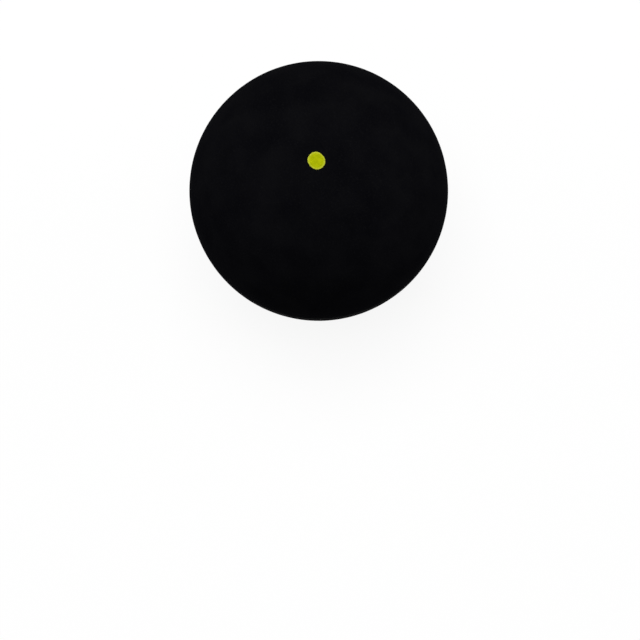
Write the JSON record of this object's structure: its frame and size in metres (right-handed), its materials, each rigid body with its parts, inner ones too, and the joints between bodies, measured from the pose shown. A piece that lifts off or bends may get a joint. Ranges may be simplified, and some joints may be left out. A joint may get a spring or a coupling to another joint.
{
  "type": "squash ball",
  "caption": "Small hollow black rubber squash ball: moulded half shells cemented at a fine seam round the middle, with a printed yellow-green speed dot on the crown.",
  "frame": {"origin": "centre of the ball, on the plane of the seam", "axes": "+Z through the middle of the printed dot, square to the seam; X and Y lie in the seam's plane"},
  "size_m": [0.04, 0.04, 0.0401],
  "materials": {
    "shell_rubber": "matte moulded black rubber",
    "seam_cement": "cured rubber cement, satin",
    "dot_ink": "matte yellow-green printing ink"
  },
  "bodies": {
    "root": {"upper_half_shell": "shell_rubber", "lower_half_shell": "shell_rubber", "seam_bond": "seam_cement", "marking_dot": "dot_ink"}
  },
  "joints": []
}
